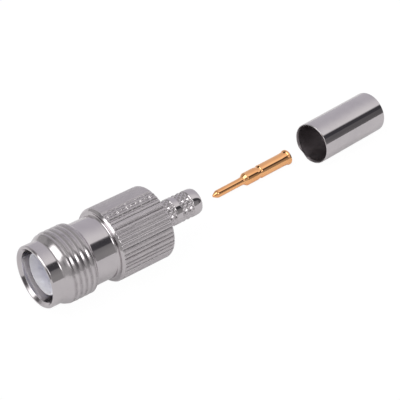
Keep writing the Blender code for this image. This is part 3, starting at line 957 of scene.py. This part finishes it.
def ring_bump(tree, shader, place, rings):
    """Rings from the lathe, given as their strength and their number in a millimetre."""
    strength, per_mm = rings
    marks = use_group(tree, GROUPS["turning_marks"], {"Rings per mm": per_mm}, {"Vector": place})
    faint_bump(tree, shader, marks.outputs["Height"], strength, RING_HEIGHT)


def turned_nickel(name, piece):
    """Bright nickel over turned brass, with faint tool rings."""
    material, tree, shader, place = new_look(name)
    along = axis_coordinates(tree, place, PIECE_TURNS.get(piece, 0.0))
    roughness, hollow_shade = NICKEL_ROUGHNESS[piece], HOLLOW_SHADE_SHARES.get(piece, 0.0)
    plated_look(tree, shader, along, NICKEL, NICKEL_CLOUD, roughness, hollow_shade)
    ring_bump(tree, shader, along, NICKEL_RINGS)
    return material


def bored_nickel(name, tone, roughness):
    """The inside of a bore: duller than the outside, with plainer tool rings."""
    material, tree, shader, place = new_look(name)
    cloud = tuple(BORE_CLOUD * value for value in tone)
    plated_look(tree, shader, place, tone, cloud, roughness)
    ring_bump(tree, shader, place, BORE_RINGS)
    return material


def knurled_nickel():
    """Nickel over a rolled knurl: dull lands with streaks along the grip, and smoother, brighter grooves
    with painted shade in them.
    """
    material, tree, shader, place = new_look("knurled_nickel")
    plating = plated_look(tree, shader, place, NICKEL, NICKEL_CLOUD, KNURL_ROUGHNESS, KNURL_HOLLOW_SHADE)
    brighter = stretch(tree, hollow_depth(tree), 0.0, BRIGHT_HOLLOW, low=0.0, high=BRIGHTER)
    rough = maths(tree, "SUBTRACT", plating.outputs["Roughness"], brighter)
    tree.links.new(rough, shader.inputs["Roughness"])
    squeezed = add_node(tree, "Mapping", values={"Scale": STREAKS}, links={"Vector": place})
    streaks = noise(tree, squeezed.outputs[0], scale=1.0, detail=3.0, roughness=0.6)
    faint_bump(tree, shader, streaks, STREAK_STRENGTH, STREAK_HEIGHT)
    return material


def turned_gold():
    """Bright reddish gold over turned brass, with rings that catch the light."""
    material, tree, shader, place = new_look("contact_gold")
    along = axis_coordinates(tree, place, CONTACT_TURN)
    plated_look(tree, shader, along, GOLD, GOLD_CLOUD, GOLD_ROUGHNESS)
    ring_bump(tree, shader, along, GOLD_RINGS)
    return material


def waxy_white():
    """White dielectric: light sinks into it and spreads, with soft clouds and fine lathe rings."""
    material, tree, shader, place = new_look("white_dielectric")
    clouds = noise(tree, place, scale=0.5 / MM, detail=3.0)
    tone = blend_colours(tree, clouds, WAX, WAX_CLOUD)
    rough = stretch(tree, clouds, 0.0, 1.0, *WAX_ROUGHNESS)
    shader.inputs["Subsurface Weight"].default_value = 1.0
    shader.inputs["Subsurface Radius"].default_value = WAX_SPREAD
    shader.inputs["Subsurface Scale"].default_value = WAX_DEPTH
    tree.links.new(tone, shader.inputs["Base Color"])
    tree.links.new(rough, shader.inputs["Roughness"])
    ring_bump(tree, shader, place, WAX_RINGS)
    return material


def direction(azimuth, elevation):
    """Unit vector; azimuth is counted in degrees from +X towards +Y, elevation from the floor."""
    a, e = np.radians(azimuth), np.radians(elevation)
    return Vector((np.cos(a) * np.cos(e), np.sin(a) * np.cos(e), np.sin(e)))


def sky_side_group():
    """Mask of the directions that face one way: their share along it, faded between two values."""
    group, given, out = new_group(
        "sky_side",
        [
            ("Direction", "Vector", (0.0, 0.0, 1.0)),
            ("Facing", "Vector", (0.0, 0.0, 1.0)),
            ("From", "Float", 0.0),
            ("To", "Float", 1.0),
        ],
        [("Mask", "Float")],
    )
    facing = share_along(group, given.outputs["Direction"], given.outputs["Facing"])
    edges = {"From Min": given.outputs["From"], "From Max": given.outputs["To"]}
    soft = {"interpolation_type": "SMOOTHSTEP"}
    mask = add_node(group, "MapRange", soft, links={"Value": facing} | edges)
    group.links.new(mask.outputs["Result"], out.inputs["Mask"])
    return group


def card_group():
    """Mask of a rectangular card in the sky, given by its middle, its two sides and their sizes.

    A direction is divided by its share along the card's middle, which puts it on a flat
    sheet, and the mask fades out at the card's half width and half height there. Directions
    that face away from the card are left out.
    """
    group, given, out = new_group(
        "card",
        [
            ("Direction", "Vector", (0.0, 0.0, 1.0)),
            ("Middle", "Vector", (0.0, 0.0, 1.0)),
            ("Across", "Vector", (1.0, 0.0, 0.0)),
            ("Upwards", "Vector", (0.0, 1.0, 0.0)),
            ("Half width", "Float", 0.3),
            ("Half height", "Float", 0.3),
            ("Softness", "Float", 0.05),
        ],
        [("Mask", "Float")],
    )
    towards = given.outputs["Direction"]
    ahead = share_along(group, towards, given.outputs["Middle"])
    front = maths(group, "MAXIMUM", ahead, 0.001)
    soft, edges = {"interpolation_type": "SMOOTHSTEP"}, {"From Min": -0.5, "From Max": 0.5}
    masks = []
    for side, size in (("Across", "Half width"), ("Upwards", "Half height")):
        share = share_along(group, towards, given.outputs[side])
        flat = maths(group, "ABSOLUTE", maths(group, "DIVIDE", share, front))
        left = maths(group, "SUBTRACT", given.outputs[size], flat)
        room = maths(group, "DIVIDE", left, given.outputs["Softness"])
        fade = add_node(group, "MapRange", soft, edges, {"Value": room})
        masks.append(fade.outputs["Result"])
    inside = maths(group, "MULTIPLY", masks[0], masks[1])
    seen = maths(group, "GREATER_THAN", ahead, 0.01)
    group.links.new(maths(group, "MULTIPLY", inside, seen), out.inputs["Mask"])
    return group


# The studio as the photo's metal reflects it. A brightness of 1 is the white background.
# Each side of the sky: the way it faces as azimuth and elevation, where its mask starts and
# ends, and its colour. They are laid over each other in this order.
ROOM_COLOUR = (0.34, 0.335, 0.335)
ROOM_FACING = (72.0, 44.0)
TENT_FACING = (71.0, 19.0)
SKY_SIDES = {
    "dim_room_top": (ROOM_FACING, -0.36, -0.02, (0.25, 0.245, 0.25)),
    "dark_right": ((-30.0, 10.0), 0.92, 0.98, (0.135, 0.13, 0.135)),
    "gap": (ROOM_FACING, -0.02, 0.02, (0.066, 0.064, 0.072)),
}
TENT_NEAR = (1.0, 0.985, 0.99)
TENT_FAR = (0.68, 0.665, 0.71)
TENT_EDGE = (-0.03, 0.08)
TENT_FALL = ((50.0, 15.0), 0.30, 0.92)
OPEN_SIDE = ((180.0, 0.0), -0.31, -0.23, (0.46, 0.455, 0.455))
# Lamps and shades: azimuth and elevation of the middle, half width and half height, all in
# degrees, softness of the edge, and colour
CARDS = {
    "cone_shade": (114.0, 48.0, 17.0, 10.0, 0.14, (0.26, 0.255, 0.26)),
    "low_shade": (-164.0, 5.0, 17.0, 16.5, 0.10, (0.125, 0.12, 0.125)),
    "mouth_shade": (137.0, 23.0, 7.0, 7.0, 0.12, (0.15, 0.145, 0.15)),
    "mouth_tent": (113.0, 5.0, 9.0, 8.0, 0.12, (0.74, 0.73, 0.74)),
    "camera_shade": (-130.6, 35.0, 9.0, 8.0, 0.14, (0.26, 0.25, 0.26)),
    "key_lamp": (178.0, 49.0, 21.5, 23.0, 0.16, (2.7, 2.7, 2.7)),
    "side_lamp": (-93.0, 41.0, 10.5, 10.0, 0.10, (3.4, 3.4, 3.4)),
}


def studio_sky():
    """The world: a bright tent behind and above, a dim room on the camera's side, soft lamps."""
    world = bpy.data.worlds.new("studio")
    bpy.context.scene.world = world
    world.use_nodes = True
    tree = world.node_tree
    background = tree.nodes["Background"]
    towards = add_node(tree, "TexCoord").outputs["Generated"]
    sky_side, card = sky_side_group(), card_group()

    def side_mask(facing, first, last):
        """Mask of the directions that face one way, between two shares along it."""
        values = {"Facing": direction(*facing), "From": first, "To": last}
        return use_group(tree, sky_side, values, {"Direction": towards}).outputs["Mask"]

    colour = ROOM_COLOUR
    for facing, first, last, shade in SKY_SIDES.values():
        colour = blend_colours(tree, side_mask(facing, first, last), colour, shade)
    tent = blend_colours(tree, side_mask(*TENT_FALL), TENT_NEAR, TENT_FAR)
    colour = blend_colours(tree, side_mask(TENT_FACING, *TENT_EDGE), colour, tent)
    colour = blend_colours(tree, side_mask(*OPEN_SIDE[:3]), colour, OPEN_SIDE[3])
    for azimuth, elevation, half_width, half_height, softness, shade in CARDS.values():
        middle = direction(azimuth, elevation)
        across = Vector((0.0, 0.0, 1.0)).cross(middle).normalized()
        mask = use_group(tree, card, {
            "Middle": middle,
            "Across": across,
            "Upwards": middle.cross(across),
            "Half width": np.tan(np.radians(half_width)),
            "Half height": np.tan(np.radians(half_height)),
            "Softness": softness,
        }, {"Direction": towards})
        colour = blend_colours(tree, mask.outputs["Mask"], colour, shade)
    path = add_node(tree, "LightPath")
    colour = blend_colours(tree, path.outputs["Is Camera Ray"], colour, (1.0, 1.0, 1.0))
    tree.links.new(colour, background.inputs["Color"])


# Floor: half its side in metres, its colour as a light on the pieces, its white and its shadow
# as the camera sees them, and the share of that white that shows in metal
FLOOR_SIZE = 1.5
FLOOR_COLOUR = (0.84, 0.83, 0.835)
WHITE_SHARE = 0.97
SHADOW_SHARE = 0.05
WHITE_IN_METAL = 0.30


def studio_floor():
    """A flat white floor: white to the camera but for a faint shadow, and pale in the metal."""
    mesh = bpy.data.meshes.new("floor")
    corners = [(x * FLOOR_SIZE, y * FLOOR_SIZE, 0.0) for x, y in ((-1, -1), (1, -1), (1, 1), (-1, 1))]
    mesh.from_pydata(corners, [], [(0, 1, 2, 3)])
    floor = bpy.data.objects.new("floor", mesh)
    bpy.context.scene.collection.objects.link(floor)
    material = bpy.data.materials.new("floor_white")
    material.use_nodes = True
    tree = material.node_tree
    tree.nodes.remove(tree.nodes["Principled BSDF"])
    path = add_node(tree, "LightPath")
    paper = add_node(tree, "BsdfDiffuse", values={"Color": (*FLOOR_COLOUR, 1.0)})
    grey = (SHADOW_SHARE, SHADOW_SHARE, SHADOW_SHARE, 1.0)
    shade = add_node(tree, "BsdfDiffuse", values={"Color": grey})
    glow = add_node(tree, "Emission", values={"Color": (1.0, 1.0, 1.0, 1.0), "Strength": WHITE_SHARE})
    shown = add_node(tree, "AddShader", links={0: shade.outputs[0], 1: glow.outputs[0]})
    in_metal = maths(tree, "MULTIPLY", path.outputs["Is Glossy Ray"], WHITE_IN_METAL)
    seen = maths(tree, "ADD", path.outputs["Is Camera Ray"], in_metal, clamp=True)
    mix = add_node(tree, "MixShader", links={0: seen, 1: paper.outputs[0], 2: shown.outputs[0]})
    tree.links.new(mix.outputs[0], tree.nodes["Material Output"].inputs["Surface"])
    mesh.materials.append(material)


def photo_camera():
    """The camera, where the outlines in the photo put it."""
    data = bpy.data.cameras.new("photo_camera")
    data.lens = CAMERA_LENS
    data.sensor_width = CAMERA_SENSOR
    data.clip_start = CAMERA_NEAR
    camera = bpy.data.objects.new("photo_camera", data)
    camera.location = CAMERA_PLACE
    camera.rotation_euler = CAMERA_TURN
    bpy.context.scene.collection.objects.link(camera)
    bpy.context.scene.camera = camera


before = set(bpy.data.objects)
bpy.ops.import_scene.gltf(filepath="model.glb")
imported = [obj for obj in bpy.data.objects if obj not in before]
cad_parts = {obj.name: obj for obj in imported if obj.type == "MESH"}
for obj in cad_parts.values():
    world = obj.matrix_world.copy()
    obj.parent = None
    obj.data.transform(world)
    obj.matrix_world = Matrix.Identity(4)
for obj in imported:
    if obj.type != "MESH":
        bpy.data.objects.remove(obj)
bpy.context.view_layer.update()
bpy.context.scene.view_settings.view_transform = "Standard"

GROUPS = {"turning_marks": turning_marks_group(), "plating": plating_group()}

shell_low, shell_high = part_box("body_shell")
jack_front = (shell_low.x, (shell_low.y + shell_high.y) / 2)
jack_place = lying_place(jack_front, 0.0, GRIP_RADIUS)
nickel_shell(jack_place)
white_insulator(jack_place)
knurled_stem(jack_place)
gold_contact((jack_front[0] + CONTACT_PLACE[0], jack_front[1] + CONTACT_PLACE[1]))
nickel_ferrule((jack_front[0] + FERRULE_PLACE[0], jack_front[1] + FERRULE_PLACE[1]))
studio_sky()
studio_floor()
photo_camera()
